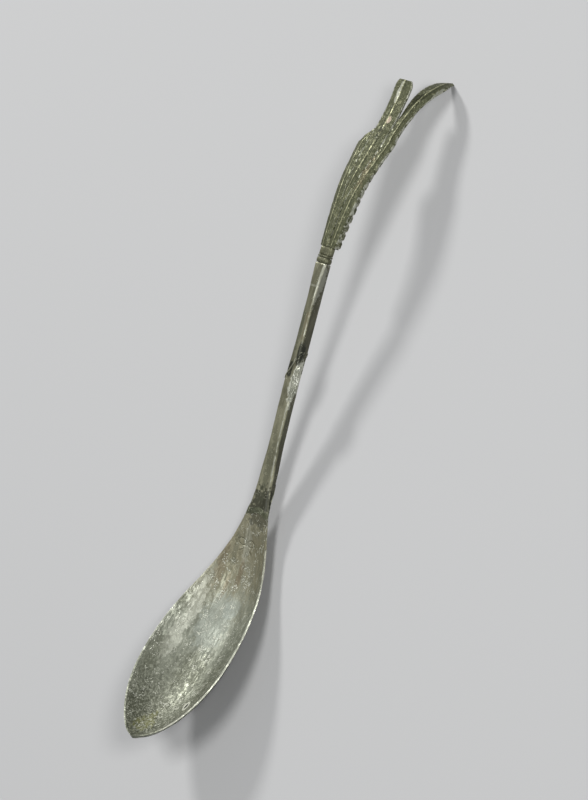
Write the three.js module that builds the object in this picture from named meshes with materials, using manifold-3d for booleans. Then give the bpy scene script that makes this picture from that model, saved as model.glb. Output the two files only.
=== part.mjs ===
// A spoon of hammered silver: a leaf-shaped bowl, a shank mended in the middle and a finial of three leaves.
// Sizes are millimetres. +X runs from the bowl to the finial, +Y to the spoon's left and +Z up.
// The spoon lies on its keel and on the point of one leaf, and the origin is on the keel's worn flat.
import * as THREE from 'three';
import Module from 'manifold-3d';

const wasm = await Module();
wasm.setup();

// The spine is the line along the top of the spoon, seen from the side. Its lengths are measured along it.
const BOWL_LENGTH = 69;
const LOWER_SHANK_LENGTH = 47;
const UPPER_SHANK_LENGTH = 29;
const FAN_LENGTH = 34;
// The spine's slope above the level of the rim, in degrees.
const TIP_SLOPE = -16;
const RIM_SLOPE = 3;
const SHANK_FOOT_SLOPE = 32.5;
const SHANK_HEAD_SLOPE = 29.5;
const COLLAR_SLOPE = 24;
const FAN_FOOT_SLOPE = 20;
const FAN_HEAD_SLOPE = 6;
const FAN_END_SLOPE = 4;
const CENTRE_TIP_SLOPE = 21;
const RIGHT_CURL_SLOPE = 2;
const RIGHT_TIP_SLOPE = -50;
// Lengths over which the spine bends.
const TIP_BEND_LENGTH = 7;
const HEEL_BEND_LENGTH = 23;
const FAN_RISE_LENGTH = 14;
const FAN_BEND_LENGTH = 10;
const RIGHT_CURL_FROM_FAN = 12;

// Bowl, raised from sheet.
const BOWL_WIDTH = 30.8;
const WIDEST_FROM_TIP = 28.5;
const TIP_BLUNTNESS = 0.65;
const HEEL_FULLNESS = 1.12;
const HOLLOW_DEPTH = 7;
const FLOOR_THICKNESS = 0.95;
const RIM_THICKNESS = 0.65;
const INSIDE_FULLNESS = 2.3;
const OUTSIDE_FULLNESS = 2.8;
const NECK_LENGTH = 15;
const NECK_WIDTH = 5.2;
const GROOVE_DEPTH = 0.3;
const KEEL_WEAR = 0.3;

// Shank: a wide flat lower length and a deep narrow upper length.
const LOWER_SHANK_WIDTH = 4;
const LOWER_SHANK_DEPTH = 2.45;
const UPPER_SHANK_WIDTH = 2.9;
const UPPER_SHANK_DEPTH = 3.4;
const HEAD_WIDTH = 4.3;
const HEAD_DEPTH = 2.3;
const HEAD_LENGTH = 11;
const HEEL_DEPTH = 1.25;
const CORNER_CHAMFER = 0.3;

// Soldered joints: the neck is lapped through its depth, the mend is spliced across its width.
const SOLDER_FILM = 0.3;
const SOLDER_PROUD = 0.14;
const LAP_FROM_HEEL = 4;
const LAP_LENGTH = 7.5;
const SPLICE_LENGTH = 7;

// Collar under the finial.
const BEAD_HEIGHT = 0.64;
const BEAD_LENGTH = 1.6;
const WIRE_DIAMETER = 0.6;
const FERRULE_LENGTH = 2.4;
const FERRULE_WALL = 0.45;
const COLLAR_CLEARANCE = 0.05;

// Finial: three leaves with midribs, side by side.
const ROOT_WIDTH = 5.4;
const FAN_WIDTH = 12.8;
const ROOT_DEPTH = 2.5;
const FAN_THICKNESS = 0.7;
const LEAF_EDGE_THICKNESS = 0.4;
const CENTRE_ROOT_WIDTH = 0.8;
const CENTRE_LEAF_WIDTH = 5.6;
const CENTRE_LEAF_LENGTH = 52.5;
const CENTRE_END_WIDTH = 6.2;
const CENTRE_END_ROUNDING = 0.8;
const RIGHT_LEAF_LENGTH = 63;
const RIGHT_LEAF_WIDTH = 5.9;
const RIGHT_POINT_WIDTH = 1.4;
const RIGHT_NOTCH = 0.5;
const LEFT_LEAF_LENGTH = 36.5;
const BREAK_SLANT = 58;
const LEAF_GAP = 0.06;
const RIB_HEIGHT = 0.32;
const CROWN = 0.7;
const SCALLOP_PITCH = 2.6;
const SCALLOP_DEPTH = 0.22;
const POINT_WEAR = 0.05;

// Stations along the spine, counted from the bowl's tip.
const HEEL = BOWL_LENGTH;
const NECK_END = HEEL + NECK_LENGTH;
const MEND = HEEL + LOWER_SHANK_LENGTH;
const SHOULDER = MEND + UPPER_SHANK_LENGTH;
const FERRULE_FOOT = SHOULDER + BEAD_LENGTH + WIRE_DIAMETER + 3 * COLLAR_CLEARANCE;
const LIP = FERRULE_FOOT + FERRULE_LENGTH + COLLAR_CLEARANCE;
const FAN_END = LIP + FAN_LENGTH;

const radians = THREE.MathUtils.degToRad;

// A smooth curve through [station, value] pairs that never overshoots them.
function profile(pairs) {
  const gap = pairs.slice(1).map(([station], i) => station - pairs[i][0]);
  const rise = gap.map((length, i) => (pairs[i + 1][1] - pairs[i][1]) / length);
  const tangent = pairs.map((pair, i) => {
    const before = rise[i - 1] ?? rise[i];
    const after = rise[i] ?? before;
    return before * after > 0 ? (2 * before * after) / (before + after) : 0;
  });
  return (station) => {
    const last = pairs.length - 1;
    if (station <= pairs[0][0]) return pairs[0][1];
    if (station >= pairs[last][0]) return pairs[last][1];
    const i = pairs.findIndex(([next]) => station < next) - 1;
    const t = (station - pairs[i][0]) / gap[i];
    const bend = t * (1 - t) * gap[i];
    const eased = t * t * (3 - 2 * t);
    const level = pairs[i][1] + (pairs[i + 1][1] - pairs[i][1]) * eased;
    return level + bend * ((1 - t) * tangent[i] - t * tangent[i + 1]);
  };
}

// The slope at a station, straight between [station, degrees] pairs, so that each stretch is an arc.
function slopeAt(pairs, station) {
  const last = pairs.length - 1;
  if (station >= pairs[last][0]) return radians(pairs[last][1]);
  const i = pairs.findIndex(([next]) => station < next) - 1;
  const share = (station - pairs[i][0]) / (pairs[i + 1][0] - pairs[i][0]);
  return radians(THREE.MathUtils.lerp(pairs[i][1], pairs[i + 1][1], share));
}

// A spine gives the place and the slope at a station. It is summed in short steps from the tip.
// Past the fan it follows one leaf, whose own [station, degrees] pairs are given.
function makeSpine(leafSlopes) {
  const endStation = leafSlopes.at(-1)[0];
  const slopes = [
    [0, TIP_SLOPE],
    [TIP_BEND_LENGTH, RIM_SLOPE],
    [HEEL + 2 - HEEL_BEND_LENGTH, RIM_SLOPE],
    [HEEL + 2, SHANK_FOOT_SLOPE],
    [SHOULDER - HEAD_LENGTH, SHANK_HEAD_SLOPE],
    [LIP, COLLAR_SLOPE],
    [LIP + FAN_RISE_LENGTH, FAN_FOOT_SLOPE],
    [LIP + FAN_RISE_LENGTH + FAN_BEND_LENGTH, FAN_HEAD_SLOPE],
    [FAN_END, FAN_END_SLOPE],
    ...leafSlopes,
  ];
  const step = 0.25;
  const places = [new THREE.Vector3()];
  for (let station = 0; station < endStation; station += step) {
    const slope = slopeAt(slopes, station + step / 2);
    const next = new THREE.Vector3(Math.cos(slope), 0, Math.sin(slope));
    places.push(next.multiplyScalar(step).add(places.at(-1)));
  }
  return (station) => {
    const i = Math.min(Math.floor(station / step), places.length - 2);
    const place = places[i].clone().lerp(places[i + 1], station / step - i);
    return { place, slope: slopeAt(slopes, station) };
  };
}

// A point beside the spine: across is to the left of it and up is square to it.
function besideSpine(spine, station, across, up) {
  const { place, slope } = spine(station);
  return new THREE.Vector3(-up * Math.sin(slope), across, up * Math.cos(slope)).add(place);
}

// A closed solid through rings of [across, up] points that turn the same way at every station.
function loft(spine, stations, ringAt) {
  const rings = stations.map(ringAt);
  const size = rings[0].length;
  const points = rings.flatMap((ring, i) => ring.map(([across, up]) => besideSpine(spine, stations[i], across, up)));
  const faces = [];
  for (let i = 0; i < rings.length - 1; i++) {
    for (let j = 0; j < size; j++) {
      const a = i * size + j;
      const b = i * size + ((j + 1) % size);
      faces.push(a, b, b + size, a, b + size, a + size);
    }
  }
  const capOf = (ring) => THREE.ShapeUtils.triangulateShape(ring.map(([x, y]) => new THREE.Vector2(x, y)), []);
  const end = (rings.length - 1) * size;
  for (const [a, b, c] of capOf(rings[0])) faces.push(a, c, b);
  for (const [a, b, c] of capOf(rings.at(-1))) faces.push(end + a, end + b, end + c);
  const geometry = new THREE.BufferGeometry().setFromPoints(points);
  geometry.setIndex(faces);
  return geometry;
}

function solidOf(geometry) {
  const vertProperties = new Float32Array(geometry.getAttribute('position').array);
  const triVerts = new Uint32Array(geometry.getIndex().array);
  return new wasm.Manifold(new wasm.Mesh({ numProp: 3, vertProperties, triVerts }));
}

function geometryOf(solid) {
  const { vertProperties, triVerts } = solid.getMesh();
  const geometry = new THREE.BufferGeometry();
  geometry.setAttribute('position', new THREE.BufferAttribute(vertProperties, 3));
  geometry.setIndex(new THREE.BufferAttribute(triVerts, 1));
  geometry.computeVertexNormals();
  return geometry;
}

// Evenly spaced stations from one place to another, ends included.
function stationsBetween(from, to, spacing) {
  const count = Math.ceil((to - from) / spacing);
  return Array.from({ length: count + 1 }, (none, i) => THREE.MathUtils.lerp(from, to, i / count));
}

// Half the width of the bowl and its neck: a sine to the widest place, then a falling cosine to the neck.
function bowlHalfWidth(station) {
  const half = BOWL_WIDTH / 2;
  if (station < WIDEST_FROM_TIP) {
    return half * Math.sin((Math.PI / 2) * (station / WIDEST_FROM_TIP) ** TIP_BLUNTNESS);
  }
  const share = Math.min(1, (station - WIDEST_FROM_TIP) / (NECK_END - WIDEST_FROM_TIP));
  const fall = (1 + Math.cos(Math.PI * share ** HEEL_FULLNESS)) / 2;
  return NECK_WIDTH / 2 + (half - NECK_WIDTH / 2) * fall;
}

// Depth of the hollow under the rim, which runs out into the neck's shallow groove.
function hollowAt(station) {
  const half = BOWL_WIDTH / 2;
  if (station < WIDEST_FROM_TIP) return HOLLOW_DEPTH * (bowlHalfWidth(station) / half) ** 1.3;
  const heelHalf = bowlHalfWidth(HEEL);
  const share = Math.max(0, (bowlHalfWidth(station) - heelHalf) / (half - heelHalf));
  return Math.max(GROOVE_DEPTH, HOLLOW_DEPTH * share ** 0.85);
}

const shankHalfWidth = profile([
  [NECK_END, NECK_WIDTH / 2],
  [NECK_END + 10, LOWER_SHANK_WIDTH / 2],
  [MEND - SPLICE_LENGTH, LOWER_SHANK_WIDTH / 2],
  [MEND + SPLICE_LENGTH, UPPER_SHANK_WIDTH / 2],
  [SHOULDER - HEAD_LENGTH, UPPER_SHANK_WIDTH / 2],
  [SHOULDER, HEAD_WIDTH / 2],
]);

const shankDepth = profile([
  [HEEL, HEEL_DEPTH],
  [NECK_END + 10, LOWER_SHANK_DEPTH],
  [MEND - SPLICE_LENGTH, LOWER_SHANK_DEPTH],
  [MEND + SPLICE_LENGTH, UPPER_SHANK_DEPTH],
  [SHOULDER - HEAD_LENGTH, UPPER_SHANK_DEPTH],
  [SHOULDER, HEAD_DEPTH],
]);

function handleHalfWidth(station) {
  return station < NECK_END ? bowlHalfWidth(station) : shankHalfWidth(station);
}

function depthAt(station) {
  return station < HEEL ? hollowAt(station) + FLOOR_THICKNESS : shankDepth(station);
}

// The bowl's section: the inside from left to right, then the outside back from right to left.
function bowlRing(station) {
  const outer = bowlHalfWidth(station);
  const inner = outer - Math.min(RIM_THICKNESS, outer / 3);
  const hollow = hollowAt(station);
  const depth = depthAt(station);
  const squareness = THREE.MathUtils.smoothstep(station, HEEL - 8, NECK_END);
  const fullness = OUTSIDE_FULLNESS + squareness;
  const ring = [];
  const steps = 16;
  for (let i = 0; i <= steps; i++) {
    const share = Math.cos((Math.PI * i) / steps);
    ring.push([inner * share, -hollow * (1 - Math.abs(share) ** INSIDE_FULLNESS)]);
  }
  for (let i = 0; i <= steps; i++) {
    const share = -Math.cos((Math.PI * i) / steps);
    const drop = Math.max(0, 1 - Math.abs(share) ** fullness) ** (1 / (1 + 2 * squareness));
    ring.push([outer * share, -depth * drop]);
  }
  return ring;
}

// The shank's section: a bar with chamfered corners and a slight groove along its top.
function barRing(half, depth, groove, chamfer, grow = 0) {
  const side = half + grow;
  const top = grow;
  const foot = -depth - grow;
  return [
    [side, top - chamfer],
    [side - chamfer, top],
    [0, top - groove],
    [chamfer - side, top],
    [-side, top - chamfer],
    [-side, foot + chamfer],
    [chamfer - side, foot],
    [side - chamfer, foot],
    [side, foot + chamfer],
  ];
}

function shankRing(station, grow = 0) {
  const groove = GROOVE_DEPTH * (1 - THREE.MathUtils.smoothstep(station, NECK_END, NECK_END + 10));
  return barRing(handleHalfWidth(station), depthAt(station), groove, CORNER_CHAMFER, grow);
}

const CENTRE_END = LIP + CENTRE_LEAF_LENGTH;
const RIGHT_END = LIP + RIGHT_LEAF_LENGTH;
const spine = makeSpine([[CENTRE_END, CENTRE_TIP_SLOPE]]);
const rightSpine = makeSpine([
  [FAN_END + RIGHT_CURL_FROM_FAN, RIGHT_CURL_SLOPE],
  [RIGHT_END, RIGHT_TIP_SLOPE],
]);

// A cutting plane through a point beside the spine, with its normal given beside the spine too.
function planeBeside(station, along, across, up) {
  const { slope } = spine(station);
  const normal = new THREE.Vector3(
    along * Math.cos(slope) - up * Math.sin(slope),
    across,
    along * Math.sin(slope) + up * Math.cos(slope),
  ).normalize();
  return { normal, offset: normal.dot(besideSpine(spine, station, 0, 0)) };
}

// Keeps what lies on the normal's side of the plane, or with side -1 what lies behind it.
function cut(solid, plane, side, shift) {
  return solid.trimByPlane(plane.normal.clone().multiplyScalar(side).toArray(), side * (plane.offset + shift));
}

const lapAngle = Math.atan2(depthAt(HEEL + LAP_FROM_HEEL + LAP_LENGTH), LAP_LENGTH);
const lapPlane = planeBeside(HEEL + LAP_FROM_HEEL, Math.sin(lapAngle), 0, Math.cos(lapAngle));
const spliceAngle = Math.atan2(2 * handleHalfWidth(MEND), SPLICE_LENGTH);
const splicePlane = planeBeside(MEND, Math.sin(spliceAngle), Math.cos(spliceAngle), 0);

// The shell and its tongue are one piece. Only the tongue meets the plane of the lap.
function makeBowl() {
  const bendFrom = HEEL - HEEL_BEND_LENGTH;
  const tongueEnd = HEEL + LAP_FROM_HEEL + LAP_LENGTH + 3;
  const tip = [0.12, 0.5, 1.1, 2, 3, 4.2, 5.6, 7.2, 9];
  const shell = tip.concat(stationsBetween(11, bendFrom, 2.4), stationsBetween(bendFrom, HEEL, 1.6).slice(1));
  const tongue = loft(spine, stationsBetween(HEEL, tongueEnd, 1.6), bowlRing);
  return solidOf(loft(spine, shell, bowlRing)).add(cut(solidOf(tongue), lapPlane, -1, -SOLDER_FILM / 2));
}

function barBetween(from, to, grow = 0) {
  return solidOf(loft(spine, stationsBetween(from, to, 2), (station) => shankRing(station, grow)));
}

function makeNeckSolder() {
  const from = HEEL + LAP_FROM_HEEL - 2;
  const film = barBetween(from, HEEL + LAP_FROM_HEEL + LAP_LENGTH + 3, SOLDER_PROUD);
  return cut(cut(film, lapPlane, 1, -SOLDER_FILM / 2), lapPlane, -1, SOLDER_FILM / 2);
}

function makeLowerShank() {
  const bar = barBetween(HEEL + LAP_FROM_HEEL - 2, MEND + SPLICE_LENGTH);
  return cut(cut(bar, lapPlane, 1, SOLDER_FILM / 2), splicePlane, -1, -SOLDER_FILM / 2);
}

function makeMendSolder() {
  const film = barBetween(MEND - SPLICE_LENGTH, MEND + SPLICE_LENGTH, SOLDER_PROUD);
  return cut(cut(film, splicePlane, 1, -SOLDER_FILM / 2), splicePlane, -1, SOLDER_FILM / 2);
}

// The upper shank steps in at the shoulder, and its spigot carries the collar and butts on the leaves' roots.
function makeUpperShank() {
  const bar = cut(barBetween(MEND - SPLICE_LENGTH, SHOULDER), splicePlane, 1, SOLDER_FILM / 2);
  const spigot = solidOf(loft(spine, [SHOULDER - 1, LIP], () => spigotRing(0)));
  return bar.add(spigot);
}

function spigotRing(grow) {
  const half = HEAD_WIDTH / 2 - FERRULE_WALL - COLLAR_CLEARANCE;
  const depth = HEAD_DEPTH - FERRULE_WALL - COLLAR_CLEARANCE;
  const ring = barRing(half, depth - FERRULE_WALL - COLLAR_CLEARANCE, 0, CORNER_CHAMFER + grow / 2, grow);
  return ring.map(([across, up]) => [across, up - FERRULE_WALL - COLLAR_CLEARANCE]);
}

// A wire bent round the spigot: an oval section carried along a rounded loop.
function makeRing(station, height, length) {
  const path = spigotRing(COLLAR_CLEARANCE + height / 2);
  const loop = new THREE.CatmullRomCurve3(
    path.map(([across, up]) => new THREE.Vector3(across, up, 0)),
    true,
    'chordal',
  );
  const sides = 10;
  const around = 32;
  const centre = new THREE.Vector3(0, -HEAD_DEPTH / 2, 0);
  const rings = Array.from({ length: around }, (none, i) => {
    const at = loop.getPointAt(i / around);
    const out = at.clone().sub(centre).normalize();
    return Array.from({ length: sides }, (same, j) => {
      const angle = (2 * Math.PI * j) / sides;
      const beside = at.clone().addScaledVector(out, (height / 2) * Math.cos(angle));
      return besideSpine(spine, station + (length / 2) * Math.sin(angle), beside.x, beside.y);
    });
  });
  const faces = [];
  for (let i = 0; i < around; i++) {
    for (let j = 0; j < sides; j++) {
      const next = ((i + 1) % around) * sides;
      const a = i * sides + j;
      const b = i * sides + ((j + 1) % sides);
      const c = next + ((j + 1) % sides);
      const d = next + j;
      faces.push(a, c, b, a, d, c);
    }
  }
  const geometry = new THREE.BufferGeometry().setFromPoints(rings.flat());
  geometry.setIndex(faces);
  return solidOf(geometry);
}

function makeFerrule() {
  const span = [FERRULE_FOOT, FERRULE_FOOT + FERRULE_LENGTH];
  const longer = [FERRULE_FOOT - 1, FERRULE_FOOT + FERRULE_LENGTH + 1];
  const outside = solidOf(loft(spine, span, () => spigotRing(COLLAR_CLEARANCE + FERRULE_WALL)));
  const inside = solidOf(loft(spine, longer, () => spigotRing(COLLAR_CLEARANCE)));
  return outside.subtract(inside);
}

const fanHalfWidth = profile([
  [LIP, ROOT_WIDTH / 2],
  [LIP + FAN_LENGTH / 2, ROOT_WIDTH / 2 + (FAN_WIDTH - ROOT_WIDTH) * 0.24],
  [FAN_END, FAN_WIDTH / 2],
]);

const centreHalfWidth = profile([
  [LIP, CENTRE_ROOT_WIDTH / 2],
  [LIP + FAN_LENGTH / 4, CENTRE_ROOT_WIDTH / 2],
  [FAN_END, CENTRE_LEAF_WIDTH / 2],
  [CENTRE_END - 8, CENTRE_LEAF_WIDTH / 2],
  [CENTRE_END - 1.5, CENTRE_END_WIDTH / 2],
  [CENTRE_END, CENTRE_END_WIDTH / 2 - CENTRE_END_ROUNDING],
]);

// The right leaf lies along the centre leaf, then curls down and away from it to a point.
const rightInner = profile([
  [LIP, CENTRE_ROOT_WIDTH / 2],
  [LIP + FAN_LENGTH / 4, CENTRE_ROOT_WIDTH / 2],
  [FAN_END, CENTRE_LEAF_WIDTH / 2],
  [RIGHT_END - 12, CENTRE_LEAF_WIDTH / 2 + 0.05],
  [RIGHT_END - 5, CENTRE_LEAF_WIDTH / 2 + 0.6],
  [RIGHT_END, CENTRE_LEAF_WIDTH / 2 + RIGHT_LEAF_WIDTH / 2 - RIGHT_POINT_WIDTH / 2],
]);
const rightOuter = profile([
  [FAN_END, FAN_WIDTH / 2],
  [FAN_END + 1.5, FAN_WIDTH / 2 - RIGHT_NOTCH],
  [FAN_END + 5, FAN_WIDTH / 2 - RIGHT_NOTCH],
  [RIGHT_END - 7, CENTRE_LEAF_WIDTH / 2 + RIGHT_LEAF_WIDTH],
  [RIGHT_END, CENTRE_LEAF_WIDTH / 2 + RIGHT_LEAF_WIDTH / 2 + RIGHT_POINT_WIDTH / 2],
]);

const leafDepth = profile([
  [LIP, ROOT_DEPTH],
  [LIP + FAN_LENGTH / 3, ROOT_DEPTH * 0.8],
  [LIP + FAN_LENGTH * 0.82, FAN_THICKNESS + 0.15],
  [FAN_END + 6, FAN_THICKNESS],
  [CENTRE_END, LEAF_EDGE_THICKNESS],
]);

// A leaf's section between two places across the fan, with its midrib between them.
function leafRing(station, from, to, ribShare) {
  const fan = Math.max(fanHalfWidth(station), Math.abs(from), Math.abs(to));
  const rib = THREE.MathUtils.lerp(from, to, ribShare);
  const ribHeight = Math.min(RIB_HEIGHT, (from - to) / 6);
  const depth = leafDepth(station);
  const shares = [0, 0.22, 0.4, 0.5, 0.6, 0.78, 1];
  const topAt = (across) => -CROWN * (across / fan) ** 2 * Math.min(1, fan / ROOT_WIDTH);
  const edgeAt = (across) => (Math.abs(across) > fan - 0.01 ? 0.55 : 1);
  const placed = shares.map((share) => {
    const whole = share < 0.5 ? share / 0.5 : (share - 0.5) / 0.5;
    return share < 0.5 ? THREE.MathUtils.lerp(from, rib, whole) : THREE.MathUtils.lerp(rib, to, whole);
  });
  const top = placed.map((across, i) => {
    const near = 1 - Math.abs(shares[i] - 0.5) * 2;
    return [across, topAt(across) + ribHeight * (near ** 1.8 - 1)];
  });
  const foot = [1, 0.75, 0.5, 0.25, 0].map((share) => {
    const across = THREE.MathUtils.lerp(from, to, share);
    return [across, topAt(across) - ribHeight - depth * edgeAt(across)];
  });
  return top.concat(foot);
}

function makeLeftLeaf() {
  const stations = stationsBetween(LIP, LIP + LEFT_LEAF_LENGTH + 4, 1.3);
  const leaf = loft(spine, stations, (station) =>
    leafRing(station, fanHalfWidth(station), centreHalfWidth(station) + LEAF_GAP, 0.5),
  );
  const slant = radians(BREAK_SLANT);
  const breakPlane = planeBeside(LIP + LEFT_LEAF_LENGTH, Math.cos(slant), Math.sin(slant), 0);
  return cut(solidOf(leaf), breakPlane, -1, (FAN_WIDTH / 4) * Math.sin(slant));
}

function makeCentreLeaf() {
  const stations = stationsBetween(LIP, CENTRE_END, 1.3);
  return solidOf(
    loft(spine, stations, (station) => leafRing(station, centreHalfWidth(station), -centreHalfWidth(station), 0.5)),
  );
}

function makeRightLeaf() {
  const stations = stationsBetween(LIP, RIGHT_END, SCALLOP_PITCH / 4);
  const leaf = loft(rightSpine, stations, (station) => {
    const scalloped = station < FAN_END ? SCALLOP_DEPTH : 0;
    const scallop = scalloped * Math.abs(Math.sin((Math.PI * (station - LIP)) / SCALLOP_PITCH));
    const outer = station < FAN_END ? fanHalfWidth(station) : rightOuter(station);
    return leafRing(station, -rightInner(station) - LEAF_GAP, scallop - outer - scalloped / 2, 0.5);
  });
  return solidOf(leaf);
}

const silver = { color: 0x8f8f7c, roughness: 0.5, metalness: 0.75 };
const solder = { color: 0xb9baa8, roughness: 0.75, metalness: 0.45 };
const patina = { color: 0x5f6150, roughness: 0.6, metalness: 0.6 };

const pieces = [
  ['bowl', makeBowl(), silver],
  ['neck_solder', makeNeckSolder(), patina],
  ['shank_lower', makeLowerShank(), silver],
  ['mend_solder', makeMendSolder(), solder],
  ['shank_upper', makeUpperShank(), silver],
  ['ring_lower', makeRing(SHOULDER + COLLAR_CLEARANCE + BEAD_LENGTH / 2, BEAD_HEIGHT, BEAD_LENGTH), silver],
  ['ring_upper', makeRing(FERRULE_FOOT - COLLAR_CLEARANCE - WIRE_DIAMETER / 2, WIRE_DIAMETER, WIRE_DIAMETER), silver],
  ['ferrule', makeFerrule(), silver],
  ['leaf_left', makeLeftLeaf(), patina],
  ['leaf_centre', makeCentreLeaf(), patina],
  ['leaf_right', makeRightLeaf(), patina],
];

function cornersOf(solid) {
  const { vertProperties } = solid.getMesh();
  const corners = [];
  for (let i = 0; i < vertProperties.length; i += 3) corners.push(new THREE.Vector3().fromArray(vertProperties, i));
  return corners;
}

// The lowest corner once the spoon is turned by an angle about the Y axis.
function lowest(corners, turn) {
  const height = (corner) => corner.z * Math.cos(turn) - corner.x * Math.sin(turn);
  return corners.reduce((low, corner) => (height(corner) < height(low) ? corner : low));
}

// The turn that lays the worn keel and the worn leaf point on one level.
function restingTurn(bowl, leaf) {
  let turn = 0;
  for (let i = 0; i < 12; i++) {
    const keel = lowest(bowl, turn);
    const point = lowest(leaf, turn);
    const worn = (KEEL_WEAR - POINT_WEAR) / Math.cos(turn);
    turn = Math.atan2(point.z - keel.z - worn, point.x - keel.x);
  }
  return turn;
}

const [bowlPiece] = pieces;
const rightPiece = pieces.at(-1);
const bowlCorners = cornersOf(bowlPiece[1]);
const turn = restingTurn(bowlCorners, cornersOf(rightPiece[1]));
const keel = lowest(bowlCorners, turn);
const tableNormal = new THREE.Vector3(-Math.sin(turn), 0, Math.cos(turn));
const table = { normal: tableNormal, offset: tableNormal.dot(keel) + KEEL_WEAR };
bowlPiece[1] = cut(bowlPiece[1], table, 1, 0);
rightPiece[1] = cut(rightPiece[1], table, 1, 0);

const spoon = new THREE.Group();
spoon.rotation.y = turn;
spoon.position.set(-keel.x * Math.cos(turn) - keel.z * Math.sin(turn), 0, -table.offset);
for (const [name, solid, finish] of pieces) {
  const mesh = new THREE.Mesh(geometryOf(solid), new THREE.MeshStandardMaterial(finish));
  mesh.name = name;
  spoon.add(mesh);
}

export default spoon;
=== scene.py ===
# %% [markdown]
# # An ancient silver spoon
# The spoon has a pointed bowl, a mended shank, a ringed collar and a finial of three leaves. Its pieces
# come from the fixed frame, in metres. This lesson sets up the photograph's view, builds the patina of old
# silver from a few shared effects, and gives each piece a finer surface.

# %% Load the frame
import math
import bpy
import bmesh
from mathutils import Matrix, Vector
from mathutils.bvhtree import BVHTree


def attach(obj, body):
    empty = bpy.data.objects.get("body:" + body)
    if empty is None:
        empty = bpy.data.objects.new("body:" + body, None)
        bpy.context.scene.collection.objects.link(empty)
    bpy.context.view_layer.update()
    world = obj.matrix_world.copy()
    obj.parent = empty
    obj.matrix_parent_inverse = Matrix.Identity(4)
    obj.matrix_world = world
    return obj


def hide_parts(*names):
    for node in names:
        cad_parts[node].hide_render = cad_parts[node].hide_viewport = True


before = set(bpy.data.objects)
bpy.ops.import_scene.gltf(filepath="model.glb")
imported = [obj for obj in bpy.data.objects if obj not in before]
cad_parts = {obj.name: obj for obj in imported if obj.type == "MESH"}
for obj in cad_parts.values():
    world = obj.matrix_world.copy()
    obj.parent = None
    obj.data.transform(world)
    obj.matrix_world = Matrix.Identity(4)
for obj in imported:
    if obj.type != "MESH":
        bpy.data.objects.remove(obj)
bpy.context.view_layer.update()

MM = 0.001
print("pieces in the frame:", sorted(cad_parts))

# %% [markdown]
# ## The photograph's view
# The view is described beside the level of the bowl's rim. Its image-right, image-up and towards-camera
# directions were worked out from the spoon's own lengths. Turning them by the angle at which the spoon
# rests gives them in the frame. The other way is to move the camera by eye, which takes many trials.

# %% Rim level and view
REST_TURN = math.radians(20.165)
RIM_ORIGIN = Vector((-48.279, 0.0, 21.303)) * MM
VIEW_RIGHT = Vector((0.5434, -0.714, -0.442))
VIEW_UP = Vector((0.779, 0.232, 0.583))
PHOTO_WIDTH = 588
PHOTO_HEIGHT = 800
TIP_PIXEL = (131.5, 735.5)
SPOON_LENGTH = 200 * MM
SPOON_PIXELS = 726
PIXEL = SPOON_LENGTH / SPOON_PIXELS

rim_to_row = Matrix.Rotation(REST_TURN, 3, "Y")
right = (rim_to_row @ VIEW_RIGHT).normalized()
up = (rim_to_row @ VIEW_UP).normalized()
toward = right.cross(up).normalized()
up = toward.cross(right)
print("towards the camera:", [round(v, 3) for v in toward])

# %% [markdown]
# Marks such as stains are placed by where the photograph shows them. A pixel is first a point on a plane
# that faces the camera, and a ray from there, straight away from the camera, finds the place on the piece.

# %% From a pixel to a piece


def at_pixel(x, y):
    """The point that shows at a pixel, on the plane that faces the camera through the rim's origin."""
    across = right * (x - TIP_PIXEL[0]) * PIXEL
    upwards = up * (TIP_PIXEL[1] - y) * PIXEL
    return RIM_ORIGIN + across + upwards


def on_piece(node, x, y):
    """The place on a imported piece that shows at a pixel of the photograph."""
    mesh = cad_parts[node].data
    corners = [vertex.co for vertex in mesh.vertices]
    tree = BVHTree.FromPolygons(corners, [face.vertices for face in mesh.polygons])
    hit = tree.ray_cast(at_pixel(x, y) + toward, -toward)[0]
    if hit is None:
        hit = tree.find_nearest(at_pixel(x, y))[0]
    return hit


BOWL_PIXEL = (200, 630)
print("the bowl's middle is at", [round(v / MM, 1) for v in on_piece("bowl", *BOWL_PIXEL)], "mm")

# %% [markdown]
# ## Camera
# The camera stands well back with a long lens, so the spoon is hardly foreshortened. Its matrix is written
# from the three directions, because angles would only hide them. The lens follows from the distance and
# from the height that the photograph covers.

# %% Camera
CAMERA_DISTANCE = 1.6
SENSOR_HEIGHT = 24
camera_data = bpy.data.cameras.new("camera")
camera_data.sensor_fit = "VERTICAL"
camera_data.sensor_height = SENSOR_HEIGHT
camera_data.lens = SENSOR_HEIGHT * CAMERA_DISTANCE / (PHOTO_HEIGHT * PIXEL)
camera = bpy.data.objects.new("camera", camera_data)
bpy.context.collection.objects.link(camera)
eye = at_pixel(PHOTO_WIDTH / 2, PHOTO_HEIGHT / 2) + toward * CAMERA_DISTANCE
camera.matrix_world = Matrix((
    (right.x, up.x, toward.x, eye.x),
    (right.y, up.y, toward.y, eye.y),
    (right.z, up.z, toward.z, eye.z),
    (0, 0, 0, 1),
))
bpy.context.scene.camera = camera
print("lens", round(camera_data.lens, 1), "mm")

# %% [markdown]
# ## Small helpers
# A metal's colour is read off a screen, so it is an sRGB value. A shader wants linear light, so each colour
# is converted once, here. The node helpers keep each material to a few readable lines: each adds one node,
# links what it is given and returns the result.

# %% Colours


def srgb(red, green, blue):
    """A screen's colour, 0 to 255, as linear light, by the standard curve."""
    def linear(value):
        value /= 255
        return value / 12.92 if value <= 0.04045 else ((value + 0.055) / 1.055) ** 2.4

    return (linear(red), linear(green), linear(blue), 1.0)


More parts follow.
